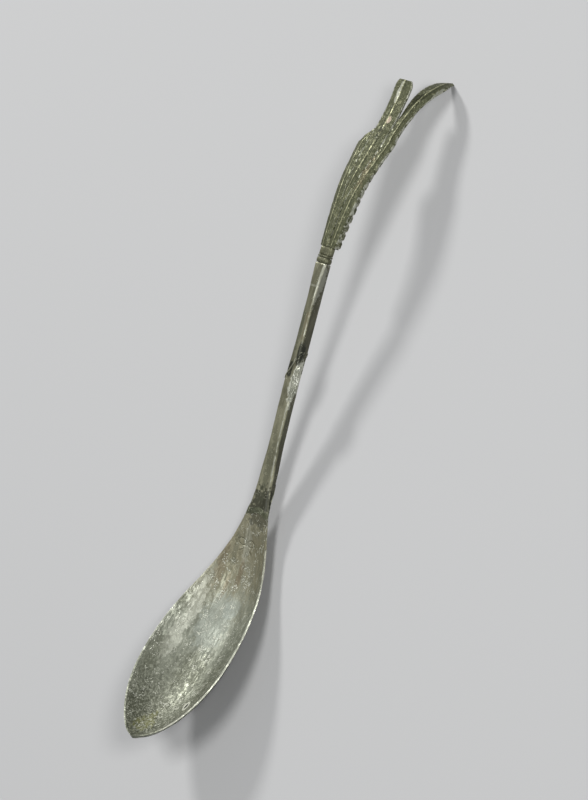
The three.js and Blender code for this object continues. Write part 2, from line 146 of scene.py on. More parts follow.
OLIVE = srgb(136, 130, 104)
DEEP_OLIVE = srgb(82, 84, 66)
BROWN = srgb(112, 99, 74)
CRUST = srgb(146, 152, 143)
PALE = srgb(204, 205, 190)
PALE_GREEN = srgb(176, 178, 160)
PINKISH = srgb(196, 180, 160)
PIT = srgb(58, 60, 46)
# The tone of the painted shade on the shank's sides.
PAINTED_SIDE_SHADE = srgb(62, 61, 47)
BLACK_GREEN = srgb(34, 37, 26)
MOSS = srgb(122, 122, 74)
RIB_TONE = srgb(184, 183, 146)
print("olive in linear light:", [round(v, 3) for v in OLIVE])

# %% Node helpers


def feed(tree, value, socket):
    """Links a node's output to a socket, or sets the socket to a plain value."""
    if isinstance(value, bpy.types.NodeSocket):
        tree.links.new(value, socket)
    else:
        socket.default_value = value


def add_node(tree, kind, inputs=(), **settings):
    node = tree.nodes.new(kind)
    for name, value in settings.items():
        setattr(node, name, value)
    for key, value in dict(inputs).items():
        feed(tree, value, node.inputs[key])
    return node


# A Mix node has sockets for every kind of value. These are the ones for colours.
MIX_FACTOR = 0
MIX_A = 6
MIX_B = 7
MIX_RESULT = 2


def mix(tree, factor, a, b):
    """Colour a, turning to colour b as the factor goes from 0 to 1."""
    inputs = {MIX_FACTOR: factor, MIX_A: a, MIX_B: b}
    return add_node(tree, "ShaderNodeMix", inputs, data_type="RGBA").outputs[MIX_RESULT]


def spread(tree, value, low, high, to_low=0.0, to_high=1.0):
    """A value's range from low to high, taken smoothly to another range."""
    limits = {0: value, 1: low, 2: high, 3: to_low, 4: to_high}
    return add_node(tree, "ShaderNodeMapRange", limits, interpolation_type="SMOOTHSTEP").outputs[0]


def attribute(tree, name):
    return add_node(tree, "ShaderNodeAttribute", attribute_name=name).outputs["Fac"]


def noise(tree, place, scale, detail):
    inputs = {"Vector": place, "Scale": scale, "Detail": detail}
    return add_node(tree, "ShaderNodeTexNoise", inputs).outputs[0]


# %% Arithmetic nodes


def maths(tree, operation, a, b=0.0):
    return add_node(tree, "ShaderNodeMath", {0: a, 1: b}, operation=operation).outputs[0]


def plus(tree, a, b):
    return maths(tree, "ADD", a, b)


def minus(tree, a, b):
    return maths(tree, "SUBTRACT", a, b)


def times(tree, a, b):
    return maths(tree, "MULTIPLY", a, b)


def over(tree, a, b):
    return maths(tree, "DIVIDE", a, b)


def larger(tree, a, b):
    return maths(tree, "MAXIMUM", a, b)


def distance(tree, a, b=0.0):
    """How far two numbers lie apart."""
    return maths(tree, "ABSOLUTE", minus(tree, a, b))


# %% Node group helpers


def new_group(name, inputs, outputs):
    """A shader node group. An input with the value None is a place, and the others are numbers."""
    group = bpy.data.node_groups.new(name, "ShaderNodeTree")
    for label, value in inputs.items():
        kind = "NodeSocketVector" if value is None else "NodeSocketFloat"
        socket = group.interface.new_socket(label, in_out="INPUT", socket_type=kind)
        if value is not None:
            socket.default_value = value
    for label in outputs:
        group.interface.new_socket(label, in_out="OUTPUT", socket_type="NodeSocketFloat")
    given = group.nodes.new("NodeGroupInput").outputs
    result = group.nodes.new("NodeGroupOutput").inputs
    return group, given, result


def use_group(tree, group, inputs):
    node = add_node(tree, "ShaderNodeGroup", node_tree=group)
    for key, value in inputs.items():
        feed(tree, value, node.inputs[key])
    return node.outputs


# %% [markdown]
# ## Tarnish clouds
# Old silver shows the same few things all over: cloudy tarnish, corrosion grains, hair scratches and bright
# worn edges. Each is a node group that gives out a mask or a height. They could be painted, but a pattern
# on object coordinates has no seams and holds at any distance. Tarnish comes first: it lies in soft clouds
# at any size, so it is a warped noise whose middle range is stretched from 0 to 1.

# %% Tarnish clouds
CLOUD_DETAIL = 7.0
CLOUD_ROUGHNESS = 0.62
CLOUD_WARP = 0.6
clouds, given, result = new_group(
    "tarnish_clouds", {"Place": None, "Scale": 200.0, "Low": 0.4, "High": 0.6}, ["Mask"])
cloud_noise = add_node(clouds, "ShaderNodeTexNoise", {
    "Vector": given["Place"],
    "Scale": given["Scale"],
    "Detail": CLOUD_DETAIL,
    "Roughness": CLOUD_ROUGHNESS,
    "Distortion": CLOUD_WARP,
}).outputs[0]
clouds.links.new(spread(clouds, cloud_noise, given["Low"], given["High"]), result["Mask"])


def cloud_mask(tree, place, scale, low, high):
    return use_group(tree, clouds, {"Place": place, "Scale": scale, "Low": low, "High": high})["Mask"]


print(clouds.name, "takes", [socket.name for socket in given if socket.name])

# %% [markdown]
# ## Corrosion grains
# Buried silver grows small pale grains that stand up in patches. Cells of a Voronoi texture give the
# grains, and a wider noise decides how large they are, down to none, so they gather in patches as on the
# real bowl.

# %% Corrosion grains
PATCH_SHARE = 0.22
PATCH_DETAIL = 4.0
PATCH_RANGE = (0.42, 0.68)
GRAIN_EDGE = (-0.08, 0.12)
grains, given, result = new_group(
    "corrosion_grains", {"Place": None, "Scale": 1500.0, "Amount": 0.5}, ["Mask", "Height"])
cell = add_node(grains, "ShaderNodeTexVoronoi", {
    "Vector": given["Place"],
    "Scale": given["Scale"],
    "Randomness": 1.0,
}).outputs["Distance"]
patch = noise(grains, given["Place"], times(grains, given["Scale"], PATCH_SHARE), PATCH_DETAIL)
grain_size = times(grains, spread(grains, patch, *PATCH_RANGE), given["Amount"])
inside = minus(grains, grain_size, cell)
grain_soft = spread(grains, inside, *GRAIN_EDGE)
grain_sharp = maths(grains, "GREATER_THAN", inside, 0.0)
grains.links.new(grain_soft, result["Mask"])
grains.links.new(times(grains, grain_soft, grain_sharp), result["Height"])

# %% [markdown]
# ## Hair scratches
# Scouring leaves fine lines that mostly run along the spoon. A noise that is drawn out thirty times along
# one axis makes such lines, and a second noise keeps them to some areas. Single lines could be modelled as
# grooves, but they are far finer than any mesh here.

# %% Hair scratches
HAIR_SCALE = (90, 2600, 2600)
HAIR_RANGE = (0.62, 0.7)
HAIR_DETAIL = 2.0
SCOURED_SCALE = 140.0
SCOURED_RANGE = (0.45, 0.65)
scratches, given, result = new_group("hair_scratches", {"Place": None, "Turn": 0.0, "Amount": 0.5}, ["Mask"])
slant = add_node(scratches, "ShaderNodeCombineXYZ", {2: given["Turn"]}).outputs[0]
drawn_out = add_node(scratches, "ShaderNodeMapping", {
    "Vector": given["Place"],
    "Rotation": slant,
    "Scale": HAIR_SCALE,
}).outputs[0]
hairs = spread(scratches, noise(scratches, drawn_out, 1.0, HAIR_DETAIL), *HAIR_RANGE)
scoured = spread(scratches, noise(scratches, given["Place"], SCOURED_SCALE, HAIR_DETAIL), *SCOURED_RANGE)
hairs_shown = times(scratches, hairs, scoured)
scratches.links.new(times(scratches, hairs_shown, given["Amount"]), result["Mask"])

# %% [markdown]
# ## Worn edges
# Handling rubs the tarnish off the edges that stand out. The Pointiness of the mesh is high there, and a
# noise chips the line so that it is not the same all along.

# %% Worn edges
CHIP_SCALE = 900.0
CHIP_DETAIL = 3.0
CHIP_DEPTH = 0.12
wear, given, result = new_group("worn_edges", {"Place": None, "Low": 0.52, "High": 0.62}, ["Mask"])
pointiness = add_node(wear, "ShaderNodeNewGeometry").outputs["Pointiness"]
chips = minus(wear, noise(wear, given["Place"], CHIP_SCALE, CHIP_DETAIL), 0.5)
raised = plus(wear, pointiness, times(wear, chips, CHIP_DEPTH))
wear.links.new(spread(wear, raised, given["Low"], given["High"]), result["Mask"])
print("shared effects:", [group.name for group in bpy.data.node_groups])

# %% [markdown]
# ## Patinated silver
# One function makes every finish of the spoon, from dark tarnish, a middle grey-green and a bright worn
# tone. Each piece has its own colours and amounts. A finish may also have a tint, which colours stretches
# of the spoon by their place, and a carving, which is drawn dark and sunk a little. Separate materials
# would repeat the same nodes six times.

# %% Patina amounts
METALLIC = 0.5
BROAD_SCALE = 210.0
FINE_SCALE = 1100.0
FINE_RANGE = (0.4, 0.64)
GRAIN_SCALE = 2300.0
WEAR_RANGE = 0.1
SHARE_OF = {"broad": 0.8, "fine": 0.5, "grains": 0.75, "worn": 0.85, "carving": 0.34}
HEIGHT_OF = {"grains": 0.6, "fine": 0.35, "scratches": 0.25, "carving": 0.7}
ROUGHNESS_RANGE = (0.38, 0.6)
WORN_POLISH = 0.12

# %% Patina material


def patina(name, dark, middle, bright, grain=0.5, scratch=0.4, turn=0.0, wear_low=0.53, relief=0.12,
           stretch=0.35, blotch=(0.38, 0.64), tint=None, carving=None):
    """A finish. The relief is in millimetres, and a small stretch draws the tarnish out along the spoon."""
    material = bpy.data.materials.new(name)
    material.use_nodes = True
    tree = material.node_tree
    shader = tree.nodes["Principled BSDF"]
    place = add_node(tree, "ShaderNodeTexCoord").outputs["Object"]
    drawn = add_node(tree, "ShaderNodeMapping", {"Vector": place, "Scale": (stretch, 1.0, 1.0)}).outputs[0]
    broad = cloud_mask(tree, drawn, BROAD_SCALE, *blotch)
    fine = cloud_mask(tree, drawn, FINE_SCALE, *FINE_RANGE)
    speck = use_group(tree, grains, {"Place": place, "Scale": GRAIN_SCALE, "Amount": grain})
    hairline = use_group(tree, scratches, {"Place": place, "Turn": turn, "Amount": scratch})["Mask"]
    worn = use_group(tree, wear, {"Place": place, "Low": wear_low, "High": wear_low + WEAR_RANGE})["Mask"]

    colour = mix(tree, times(tree, broad, SHARE_OF["broad"]), middle, dark)
    colour = mix(tree, times(tree, fine, SHARE_OF["fine"]), colour, dark)
    if tint:
        colour = tint(tree, place, colour, fine)
    colour = mix(tree, times(tree, speck["Mask"], SHARE_OF["grains"]), colour, bright)
    colour = mix(tree, hairline, colour, bright)
    colour = mix(tree, times(tree, worn, SHARE_OF["worn"]), colour, bright)

    height = times(tree, speck["Height"], HEIGHT_OF["grains"])
    height = plus(tree, height, times(tree, fine, HEIGHT_OF["fine"]))
    height = minus(tree, height, times(tree, hairline, HEIGHT_OF["scratches"]))
    if carving:
        groove = carving(tree, place)
        colour = mix(tree, times(tree, groove, SHARE_OF["carving"]), colour, DEEP_OLIVE)
        height = minus(tree, height, times(tree, groove, HEIGHT_OF["carving"]))

    rough = spread(tree, fine, 0.0, 1.0, *ROUGHNESS_RANGE)
    bump = add_node(tree, "ShaderNodeBump", {"Height": height, "Distance": relief * MM, "Strength": 1.0})
    feed(tree, colour, shader.inputs["Base Color"])
    feed(tree, minus(tree, rough, times(tree, worn, WORN_POLISH)), shader.inputs["Roughness"])
    feed(tree, bump.outputs[0], shader.inputs["Normal"])
    shader.inputs["Metallic"].default_value = METALLIC
    return material


# %% [markdown]
# ## Stains and painted highlights
# Small marks lie where the photograph shows them: a pale crust, brown streaks, a pinhole, the rough bright
# mend and its dark patch, and a few painted highlights. A stain could be painted on a texture. Here each is
# a ragged ellipsoid about a place found on the piece, so it needs no picture file.

# %% Stain helpers
STAIN_SCALE = 800.0
STAIN_DETAIL = 4.0
STAIN_REACH = 2.4
STAIN_SOFTNESS = 0.2


def vector_maths(tree, operation, *values):
    return add_node(tree, "ShaderNodeVectorMath", dict(enumerate(values)), operation=operation).outputs


def stain(tree, place, centre, size, ragged):
    """A mask that is 1 within an ellipsoid of half-sizes in millimetres, with a ragged edge."""
    half = tuple(length * MM for length in size)
    moved = vector_maths(tree, "SUBTRACT", place, tuple(centre))[0]
    scaled = vector_maths(tree, "DIVIDE", moved, half)[0]
    reach = vector_maths(tree, "LENGTH", scaled)["Value"]
    uneven = minus(tree, noise(tree, place, STAIN_SCALE, STAIN_DETAIL), 0.5)
    reach = plus(tree, reach, times(tree, uneven, STAIN_REACH * ragged))
    return spread(tree, reach, 1 + STAIN_SOFTNESS, 1 - STAIN_SOFTNESS)


def stained(tree, place, colour, marks):
    """The colour with all the named marks laid over it, one by one."""
    for node, pixel, size, tone, strength, ragged in marks.values():
        mask = stain(tree, place, on_piece(node, *pixel), size, ragged)
        colour = mix(tree, times(tree, mask, strength), colour, tone)
    return colour


# %% [markdown]
# ## The bowl's tarnish and painted highlights
# The bowl is warm olive at its neck, grey in the middle, and dark and grainy at the tip and on its right
# wall. Such wide changes are ramps along and across the bowl, whose limits the fine clouds make ragged. The
# smaller marks have names and pixels, so that each can be compared with the photograph. Two pale marks on
# the left wall and a pale line along the rim are painted highlights.

# %% Bowl marks
# Each mark: piece, pixel, half-sizes along, across and up in millimetres, tone, strength and raggedness.
BOWL_MARKS = {
    "wide crust": ("bowl", (213, 628), (9, 5, 6), CRUST, 0.5, 0.7),
    "crust patch": ("bowl", (231, 612), (3.2, 2.8, 5), CRUST, 0.55, 0.3),
    # The next two marks are painted highlights: pale patches that stand for the silver reflecting the lamps
    # on the left wall.
    "painted left highlight": ("bowl", (172, 640), (7, 1.8, 5), PALE, 0.4, 0.9),
    "painted upper highlight": ("bowl", (196, 604), (8, 1.6, 5), PALE, 0.35, 0.9),
    "brown streak": ("bowl", (239, 578), (5, 0.8, 4), BROWN, 0.6, 0.6),
    "short brown streak": ("bowl", (226, 586), (4, 0.6, 4), BROWN, 0.4, 0.6),
    "left spot": ("bowl", (180, 600), (1.6, 1.0, 3), DEEP_OLIVE, 0.6, 0.5),
    "dark left edge": ("bowl", (152, 655), (7, 2.4, 5), DEEP_OLIVE, 0.45, 0.9),
    "dark lower wall": ("bowl", (205, 690), (9, 3.2, 6), DEEP_OLIVE, 0.5, 0.9),
    "dark lower middle": ("bowl", (190, 672), (7, 4, 6), DEEP_OLIVE, 0.5, 1.0),
    "mossy tip": ("bowl", (144, 724), (4, 2.5, 4), MOSS, 0.6, 1.1),
    "wide brown streak": ("bowl", (222, 560), (8, 1.2, 4), BROWN, 0.42, 0.9),
    "olive streak": ("bowl", (234, 556), (7, 0.7, 4), DEEP_OLIVE, 0.4, 0.9),
    "pale palmette ground": ("bowl", (247, 545), (6, 1.2, 4), PALE, 0.25, 0.8),
    "dark neck": ("bowl", (262, 512), (5, 4.5, 4), BLACK_GREEN, 0.55, 1.0),
}
PINHOLE_PIXEL = (186, 707)
PINHOLE_HALF = (0.9, 0.45, 3.0)
PINHOLE_RAGGED = 0.1
PINHOLE_LIP_HALF = (1.5, 1.0, 4.0)
PINHOLE_LIP_RAGGED = 0.15
print("marks on the bowl:", len(BOWL_MARKS))

# %% Bowl zones
ZONE_RAGGED = 6 * MM
WARM_ALONG = (-14 * MM, 12 * MM)
WARM_SHARE = 0.75
WALL_ACROSS = (-4 * MM, -13 * MM)
WALL_SHARE = 0.7
TIP_ALONG = (-16 * MM, -42 * MM)
TIP_SHARE = 0.78
WALL_ROUGHNESS = 0.8
CRUMB_CLOUDS = (1500.0, 0.5, 0.58)
CRUMB_SHARE = 0.6
PIT_CLOUDS = (1000.0, 0.56, 0.64)
PIT_SHARE = 0.7
# The strength of the painted highlight along the rim, and how it changes from one side of the bowl to the
# other.
RIM_HIGHLIGHT_SHARE = 0.36
RIM_HIGHLIGHT_ACROSS = (4 * MM, -4 * MM)
RIM_HIGHLIGHT_BY_SIDE = (0.1, 1.0)


def bowl_tint(tree, place, colour, fine):
    """The bowl's zones, its marks, the crumbs and pits of its rough part, the pinhole and a painted
    highlight along the rim.
    """
    parts = add_node(tree, "ShaderNodeSeparateXYZ", {0: place}).outputs
    ragged = times(tree, minus(tree, fine, 0.5), ZONE_RAGGED)
    along = plus(tree, parts[0], ragged)
    across = plus(tree, parts[1], ragged)
    warm = spread(tree, along, *WARM_ALONG)
    wall = spread(tree, across, *WALL_ACROSS)
    tip = spread(tree, along, *TIP_ALONG)
    colour = mix(tree, times(tree, warm, WARM_SHARE), colour, OLIVE)
    colour = mix(tree, times(tree, wall, WALL_SHARE), colour, DEEP_OLIVE)
    colour = mix(tree, times(tree, tip, TIP_SHARE), colour, DEEP_OLIVE)
    colour = stained(tree, place, colour, BOWL_MARKS)

    rough_part = larger(tree, tip, times(tree, wall, WALL_ROUGHNESS))
    crumbs = times(tree, cloud_mask(tree, place, *CRUMB_CLOUDS), rough_part)
    colour = mix(tree, times(tree, crumbs, CRUMB_SHARE), colour, PALE_GREEN)
    pits = times(tree, cloud_mask(tree, place, *PIT_CLOUDS), tip)
    colour = mix(tree, times(tree, pits, PIT_SHARE), colour, PIT)

    pinhole = on_piece("bowl", *PINHOLE_PIXEL)
    colour = mix(tree, stain(tree, place, pinhole, PINHOLE_LIP_HALF, PINHOLE_LIP_RAGGED), colour, PALE)
    colour = mix(tree, stain(tree, place, pinhole, PINHOLE_HALF, PINHOLE_RAGGED), colour, BLACK_GREEN)

    # Painted highlight: a pale line along the rim's crest, made stronger on one side of the bowl as if lit
    # there.
    lit_side = spread(tree, across, *RIM_HIGHLIGHT_ACROSS, *RIM_HIGHLIGHT_BY_SIDE)
    rim = times(tree, attribute(tree, "rim"), RIM_HIGHLIGHT_SHARE)
    return mix(tree, times(tree, rim, lit_side), colour, PALE)


# %% [markdown]
# ## The shank's tarnish and painted shade
# The shank's sides are darkened with painted shade, as they face away from the lamps, and a pale line along
# one top edge is partly rubbed wear and partly a painted highlight. Both come from attributes of the mesh,
# which are written further on: the place across the piece, and whether a point faces up. A ramp across the
# picture would do this in one view only.

# %% Shank marks
SHANK_MARKS = {
    "dark foot": ("shank_lower", (262, 506), (5, 4.5, 4), BLACK_GREEN, 0.75, 1.1),
    "olive left side": ("shank_lower", (268, 470), (9, 1.2, 4), DEEP_OLIVE, 0.5, 0.9),
    "pale mend": ("shank_lower", (294, 384), (6.5, 1.5, 2), PALE, 0.85, 0.9),
    "dark splice": ("shank_upper", (289, 361), (3.6, 0.8, 2), BLACK_GREEN, 0.9, 0.4),
    "olive line": ("shank_upper", (300, 330), (7, 0.6, 2), DEEP_OLIVE, 0.55, 0.8),
    "pale nick": ("shank_upper", (312, 284), (0.3, 3, 2), PALE, 0.25, 0.5),
    # Partly rubbed wear, partly a painted highlight along the right edge.
    "worn and lit right edge": ("shank_upper", (326, 290), (7, 0.7, 2), PALE, 0.3, 1.0),
    "brown line": ("shank_upper", (306, 322), (5, 0.5, 2), BROWN, 0.4, 1.0),
    "lower olive line": ("shank_lower", (283, 430), (10, 0.5, 2), DEEP_OLIVE, 0.3, 1.2),
    "dark splice foot": ("shank_lower", (290, 369), (2.4, 0.8, 2), BLACK_GREEN, 0.9, 0.5),
}
# How far the painted shade darkens the shank's sides.
SIDE_SHADE_SHARE = 0.8
# A pale line along one top edge of the shank: partly rubbed wear, partly a painted highlight.
WORN_LIT_ACROSS = -0.72
WORN_LIT_WIDTH = (0.16, 0.04)
WORN_LIT_CLOUDS = (0.9, 0.3)
WORN_LIT_SHARE = (0.1, 0.6)


def shank_tint(tree, place, colour, fine):
    """Painted shade on the sides, a pale line of wear and painted highlight along one top edge, then the
    shank's marks.
    """
    upper = attribute(tree, "upper")
    # Painted shade: the faces that do not face up are darkened.
    shaded_sides = times(tree, minus(tree, 1.0, upper), SIDE_SHADE_SHARE)
    colour = mix(tree, shaded_sides, colour, PAINTED_SIDE_SHADE)
    from_line = distance(tree, attribute(tree, "across"), WORN_LIT_ACROSS)
    # The pale line along one top edge: rubbed wear and a painted highlight.
    rubbed = times(tree, spread(tree, from_line, *WORN_LIT_WIDTH), upper)
    rubbed = times(tree, rubbed, spread(tree, fine, *WORN_LIT_CLOUDS, *WORN_LIT_SHARE))
    colour = mix(tree, rubbed, colour, PALE)
    return stained(tree, place, colour, SHANK_MARKS)


print("marks on the shank:", len(SHANK_MARKS))

# %% [markdown]
# ## The leaves' tarnish
# Each leaf is dark olive, with a thin bright line on its midrib, a dark groove on both sides of it and a
# broken bright margin. The lines follow the place across the leaf, so they narrow and bend with it. Lines
# along an axis would run off the curved blades.

# %% Leaf marks
LEAF_MARKS = {
    "pinkish chip": ("leaf_centre", (390, 117), (1.2, 0.55, 2), PINKISH, 0.8, 0.5),
    "dark slit": ("leaf_centre", (380, 130), (2.6, 0.35, 2), BLACK_GREEN, 0.8, 0.3),
    "rubbed end": ("leaf_centre", (400, 88), (4.2, 0.6, 2), PALE, 0.6, 1.4),
    "brown bloom": ("leaf_right", (366, 170), (7, 0.8, 2), BROWN, 0.4, 1.6),
    "rubbed point": ("leaf_right", (440, 90), (5, 0.6, 2), PALE, 0.4, 1.0),
}
BROKEN_CLOUDS = (0.75, 0.25)
CROOKED_CLOUDS = (1400.0, 0.3, 0.7)
CROOKED_DEPTH = 0.03
RIB_WIDTH = (0.08, 0.024)
RIB_BROKEN = (0.0, 0.8)
RIB_SHOWN = (0.5, 0.9)
GROOVE_ACROSS = 0.24
GROOVE_WIDTH = (0.12, 0.03)
GROOVE_SHARE = 0.4
MARGIN_ACROSS = (0.84, 0.98)
MARGIN_SHARE = 0.6


def leaf_tint(tree, place, colour, fine):
    """The midrib, the grooves beside it and the margin, then the leaves' marks."""
    upper = attribute(tree, "upper")
    broken = spread(tree, fine, *BROKEN_CLOUDS)
    crooked = minus(tree, cloud_mask(tree, place, *CROOKED_CLOUDS), 0.5)
    from_rib = distance(tree, attribute(tree, "across"))
    from_rib = plus(tree, from_rib, times(tree, crooked, CROOKED_DEPTH))

    groove = times(tree, spread(tree, distance(tree, from_rib, GROOVE_ACROSS), *GROOVE_WIDTH), upper)
    colour = mix(tree, times(tree, groove, GROOVE_SHARE), colour, BLACK_GREEN)
    rib = times(tree, spread(tree, from_rib, *RIB_WIDTH), upper)
    rib = times(tree, rib, spread(tree, broken, *RIB_BROKEN, *RIB_SHOWN))
    colour = mix(tree, rib, colour, RIB_TONE)
    margin = times(tree, spread(tree, from_rib, *MARGIN_ACROSS), times(tree, broken, MARGIN_SHARE))
    colour = mix(tree, margin, colour, PALE)
    return stained(tree, place, colour, LEAF_MARKS)


print("marks on the leaves:", len(LEAF_MARKS))

# %% [markdown]
# ## The engraved palmette
# Near the neck the hollow has a small engraved ornament of a common kind: two ovals, short strokes that fan
# out below them and a long crease. It is too fine for the mesh, so it is drawn by distances, on axes that
# lie along and across the bowl. The lines are darker and a little sunk. All their sizes are in millimetres.

# %% Palmette
PALMETTE_PIXEL = (246, 548)
OVAL_HALF = (0.75, 1.25)
OVAL_OFFSET = (0.7, 1.5)
OVAL_LINE = (0.26, 0.1)
STROKE_RATE = 3.5
STROKE_LINE = (0.4, 0.15)
STROKE_START = (0.6, 0.9)
STROKE_END = (3.0, 2.5)
CREASE_MIDDLE = 3.0
CREASE_REACH = (3.6, 2.6)
CREASE_WIDTH = (0.26, 0.13)


def hypotenuse(tree, a, b):
    return maths(tree, "SQRT", plus(tree, times(tree, a, a), times(tree, b, b)))


def engraved_oval(tree, along, across, side):
    """A thin oval line on one side of the palmette."""
    a = over(tree, minus(tree, along, OVAL_OFFSET[0]), OVAL_HALF[0])
    b = over(tree, minus(tree, across, side * OVAL_OFFSET[1]), OVAL_HALF[1])
    return spread(tree, distance(tree, hypotenuse(tree, a, b), 1.0), *OVAL_LINE)


def engraved_strokes(tree, along, across):
    """Strokes that fan out on the bowl's side of the ovals."""
    angle = maths(tree, "ARCTAN2", across, times(tree, along, -1.0))
    wave = distance(tree, maths(tree, "SINE", times(tree, angle, STROKE_RATE)))
    reach = hypotenuse(tree, along, across)
    strokes = times(tree, spread(tree, wave, *STROKE_LINE), spread(tree, reach, *STROKE_END))
    strokes = times(tree, strokes, spread(tree, reach, *STROKE_START))
    return times(tree, strokes, maths(tree, "LESS_THAN", along, 0.0))


def engraved_crease(tree, along, across):
    """The long line that runs from the ovals to the neck."""
    width = spread(tree, distance(tree, across), *CREASE_WIDTH)
    return times(tree, width, spread(tree, distance(tree, along, CREASE_MIDDLE), *CREASE_REACH))


def engraved_palmette(tree, place):
    """The mask of the whole ornament."""
    moved = vector_maths(tree, "SUBTRACT", place, tuple(on_piece("bowl", *PALMETTE_PIXEL)))[0]
    bowl_axis = tuple(rim_to_row @ Vector((1, 0, 0)))
    along = over(tree, vector_maths(tree, "DOT_PRODUCT", moved, bowl_axis)["Value"], MM)
    across = over(tree, vector_maths(tree, "DOT_PRODUCT", moved, (0, 1, 0))["Value"], MM)
    ovals = larger(tree, engraved_oval(tree, along, across, -1), engraved_oval(tree, along, across, 1))
    lines = larger(tree, engraved_strokes(tree, along, across), engraved_crease(tree, along, across))
    return larger(tree, ovals, lines)


# %% [markdown]
# ## Finishes
# The bowl and the shank are worn silver, greyer in the bowl and warmer on the shank. The neck's solder is
# dark, the mend's solder pale and grainy, and the collar and the leaves keep a dark olive patina.
# Each finish gives its dark, middle and bright tone. One tone alone would look like paint.

# %% Finishes
silver_bowl = patina(
    "silver_bowl", srgb(98, 101, 87), srgb(158, 161, 146), srgb(204, 205, 190),
    scratch=0.75, turn=math.radians(8), tint=bowl_tint, carving=engraved_palmette)
silver_shank = patina(
    "silver_shank", srgb(88, 87, 68), srgb(150, 148, 124), srgb(194, 193, 168),
    grain=0.3, stretch=0.25, relief=0.08, tint=shank_tint)
silver_neck = patina(
    "silver_neck", srgb(46, 50, 36), srgb(98, 100, 78), srgb(150, 152, 130), grain=0.4)
solder_pale = patina(
    "solder_pale", srgb(120, 122, 106), srgb(182, 183, 168), srgb(226, 227, 214),
    grain=0.8, stretch=1.0, relief=0.3)
silver_collar = patina(
    "silver_collar", srgb(72, 72, 52), srgb(118, 118, 92), srgb(180, 180, 150), grain=0.3)
green_leaf = patina(
    "green_leaf", srgb(62, 65, 43), srgb(94, 96, 68), srgb(150, 150, 118),
    grain=0.55, scratch=0.9, wear_low=0.57, stretch=0.8, relief=0.25, blotch=(0.15, 1.0), tint=leaf_tint)
for finish in (silver_bowl, silver_shank, silver_neck, solder_pale, silver_collar, green_leaf):
    print(finish.name, "has", len(finish.node_tree.nodes), "nodes")

# %% [markdown]
# ## Marks across a piece
# The tints need to know where a point lies across its piece. The spoon is cut into thin slices along its
# length, each slice is measured, and each point is given its share of the slice's half-width. A UV map
# could hold the same, but it would have to be unwrapped on every piece.

# %% Marks across a piece
SLICE = 0.6 * MM
THINNEST_HALF = 0.01 * MM
FACES_UP = 0.3
RIM_DEPTH = 0.25 * MM
RIM_HALF_WIDTH = 7 * MM


def measured_slices(places):
    """The lowest and highest place across, and the crest, of each slice along the spoon."""
    slices = {}
    for place in places:
        key = round(place.x / SLICE)
        low, high, crest = slices.get(key, (place.y, place.y, place.z))
        slices[key] = (min(low, place.y), max(high, place.y), max(crest, place.z))
    return slices


def mark_slices(piece):
    """Writes each point's place across its slice, whether it faces up, and whether it lies on the rim."""
    from_rim = rim_to_row.transposed()
    places = [from_rim @ (point.co - RIM_ORIGIN) for point in piece.data.vertices]
    slices = measured_slices(places)
    across, upper, rim = (
        piece.data.attributes.new(name, "FLOAT", "POINT") for name in ("across", "upper", "rim"))
    for point, place in zip(piece.data.vertices, places):
        low, high, crest = slices[round(place.x / SLICE)]
        half = max((high - low) / 2, THINNEST_HALF)
        on_rim = place.z > crest - RIM_DEPTH and half > RIM_HALF_WIDTH
        across.data[point.index].value = (place.y - (low + high) / 2) / half
        upper.data[point.index].value = 1.0 if point.normal.z > FACES_UP else 0.0
        rim.data[point.index].value = 1.0 if on_rim else 0.0


# %% [markdown]
# ## Finer surfaces
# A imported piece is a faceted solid. A copy is merged, its triangles are paired to quads, its sharp edges
# are creased and a Subdivision modifier rounds the rest. A Displace modifier then gives the slight dents of
# old hammered metal. Sculpting by hand would do the same, but it can't be repeated.

# %% Merge and crease
MERGE_WITHIN = 0.002 * MM
PAIR_FACES = math.radians(25)
PAIR_SHAPES = math.radians(70)
SHARP = math.radians(32)
SHARP_CREASE = 0.85


def merge_triangles(piece):
    """Merges a copy's loose triangles and pairs them to quads."""
    bpy.ops.object.select_all(action="DESELECT")
    piece.select_set(True)
    bpy.context.view_layer.objects.active = piece
    bpy.ops.object.mode_set(mode="EDIT")
    bpy.ops.mesh.select_all(action="SELECT")
    bpy.ops.mesh.remove_doubles(threshold=MERGE_WITHIN)
    bpy.ops.mesh.tris_convert_to_quads(face_threshold=PAIR_FACES, shape_threshold=PAIR_SHAPES)
    bpy.ops.object.mode_set(mode="OBJECT")


def crease_sharp_edges(piece):
    """Creases the edges that are sharp, so that the subdivision keeps them."""
    mesh = bmesh.new()
    mesh.from_mesh(piece.data)
    crease = mesh.edges.layers.float.new("crease_edge")
    for edge in mesh.edges:
        sharp = len(edge.link_faces) == 2 and edge.calc_face_angle() > SHARP
        edge[crease] = SHARP_CREASE if sharp else 0.0
    mesh.to_mesh(piece.data)
    mesh.free()


# %% Round and dent


def add_dents(piece, label, size, strength):
    """A Displace modifier of soft dents, with size and strength in millimetres."""
    texture = bpy.data.textures.new(label, "CLOUDS")
    texture.noise_scale = size * MM
    modifier = piece.modifiers.new(label, "DISPLACE")
    modifier.texture = texture
    modifier.texture_coords = "LOCAL"
    modifier.strength = strength * MM


def apply_modifiers(piece, smooth_angle):
    for modifier in list(piece.modifiers):
        bpy.ops.object.modifier_apply(modifier=modifier.name)
    bpy.ops.object.shade_smooth_by_angle(angle=smooth_angle)


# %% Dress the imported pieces
PIECE_SMOOTH = math.radians(40)


